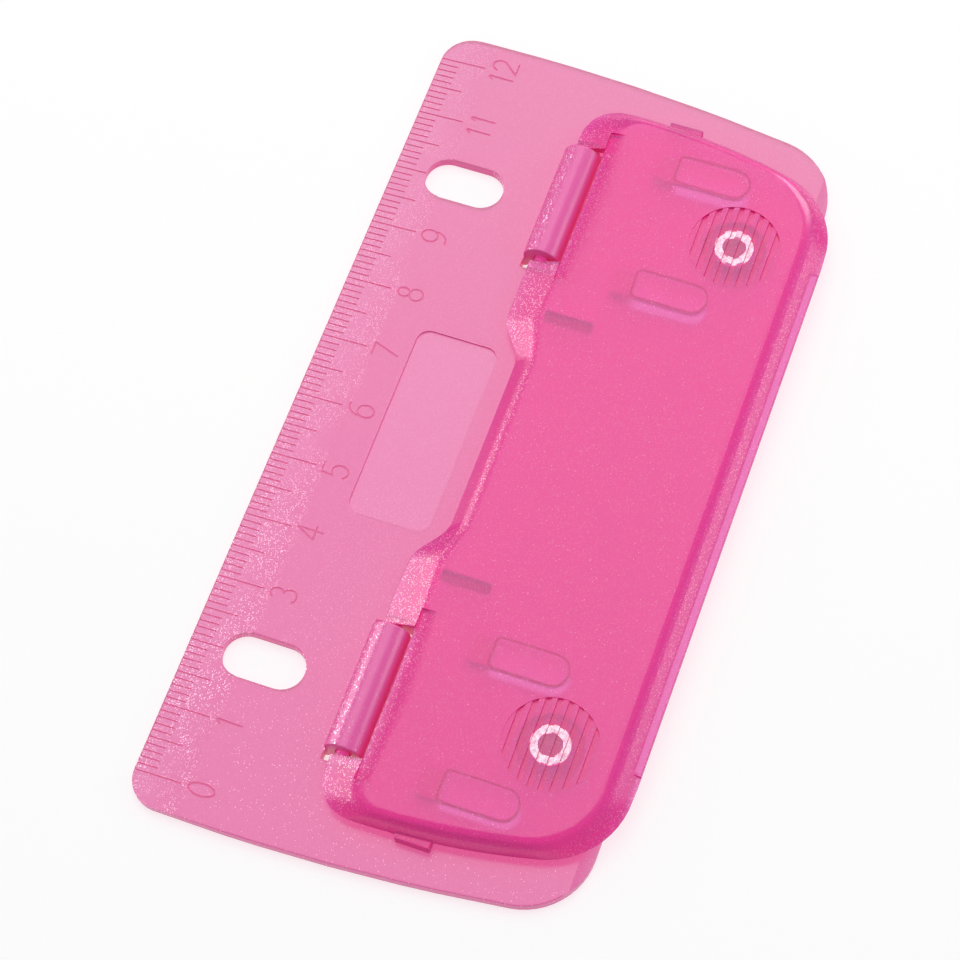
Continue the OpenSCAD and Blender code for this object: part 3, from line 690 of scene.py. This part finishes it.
def paleFloor():
    # matt white paper sweep, lit so that it stays white round a faint shadow
    m = newMaterial("pale_studio_floor")
    t = m.node_tree
    white = linear(studio["whiteHex"])
    path = addNode(t, "ShaderNodeLightPath", {}).outputs
    seen = addNode(t, "ShaderNodeMath", {
        "operation": "MAXIMUM", 0: path["Is Camera Ray"], 1: path["Is Glossy Ray"]})
    paint = addNode(t, "ShaderNodeBsdfDiffuse", {"Color": white})
    glow = addNode(t, "ShaderNodeEmission", {"Color": white, "Strength": floorLook["glow"]})
    through = addNode(t, "ShaderNodeEmission", {"Color": white, "Strength": floorLook["throughPlastic"]})
    both = addNode(t, "ShaderNodeMixShader", {
        0: floorLook["glowShare"], 1: paint.outputs[0], 2: glow.outputs[0]})
    shown = addNode(t, "ShaderNodeMixShader", {0: seen.outputs[0], 1: paint.outputs[0], 2: both.outputs[0]})
    mix = addNode(t, "ShaderNodeMixShader", {
        0: path["Is Transmission Ray"], 1: shown.outputs[0], 2: through.outputs[0]})
    addNode(t, "ShaderNodeOutputMaterial", {"Surface": mix.outputs[0]})
    return m


r = floorLook["reach"]
floorMesh = bpy.data.meshes.new("floor")
floorMesh.from_pydata([(-r, -r, 0), (r, -r, 0), (r, r, 0), (-r, r, 0)], [], [(0, 1, 2, 3)])
floor = bpy.data.objects.new("floor", floorMesh)
bpy.context.scene.collection.objects.link(floor)
floor.location.z = -floorLook["gap"] * mm
floor.data.materials.append(paleFloor())

world = bpy.data.worlds.new("studio")
world.use_nodes = True
sky = world.node_tree
sky.nodes.clear()
white = linear(studio["whiteHex"])
soft = addNode(sky, "ShaderNodeBackground", {"Color": white, "Strength": studio["world"]})
backdrop = addNode(sky, "ShaderNodeBackground", {"Color": white, "Strength": studio["backdrop"]})
ray = addNode(sky, "ShaderNodeLightPath", {})
# only what the eye sees is white, and the object is lit more softly
seenWorld = addNode(sky, "ShaderNodeMixShader", {
    0: ray.outputs["Is Camera Ray"], 1: soft.outputs[0], 2: backdrop.outputs[0]})
addNode(sky, "ShaderNodeOutputWorld", {"Surface": seenWorld.outputs[0]})
bpy.context.scene.world = world

for name, (place, size, watts) in studio["lamps"].items():
    light = bpy.data.lights.new(name, "AREA")
    light.size, light.energy = size, watts
    o = bpy.data.objects.new(name, light)
    bpy.context.scene.collection.objects.link(o)
    o.visible_diffuse = not name.startswith("spark")
    o.location = place
    o.rotation_euler = (-Vector(place)).to_track_quat("-Z", "Y").to_euler()

# the camera stands off the near end and looks at aim, a point on the table; heading is counted from +X,
# and it, down and roll are in degrees; clip is in metres
view = {"lens": 104.62, "sensor": 36.0, "clip": (0.01, 10.0), "aim": (-4.2144, 3.2727, 0.0), "away": 392.926,
        "heading": 25.726, "down": 64.4192, "roll": -6.4582}
camera = bpy.data.cameras.new("camera")
camera.lens, camera.sensor_width = view["lens"], view["sensor"]
camera.clip_start, camera.clip_end = view["clip"]
cameraObject = bpy.data.objects.new("camera", camera)
bpy.context.scene.collection.objects.link(cameraObject)
turn = (Matrix.Rotation(math.radians(view["heading"] - 90), 4, "Z")
        @ Matrix.Rotation(math.radians(90 - view["down"]), 4, "X")
        @ Matrix.Rotation(math.radians(view["roll"]), 4, "Z"))
stand = Vector(view["aim"]) * mm + turn.col[2].to_3d() * view["away"] * mm
cameraObject.matrix_world = Matrix.Translation(stand) @ turn
bpy.context.scene.camera = cameraObject
print("stage set")

bpy.context.scene.view_settings.view_transform = "Standard"
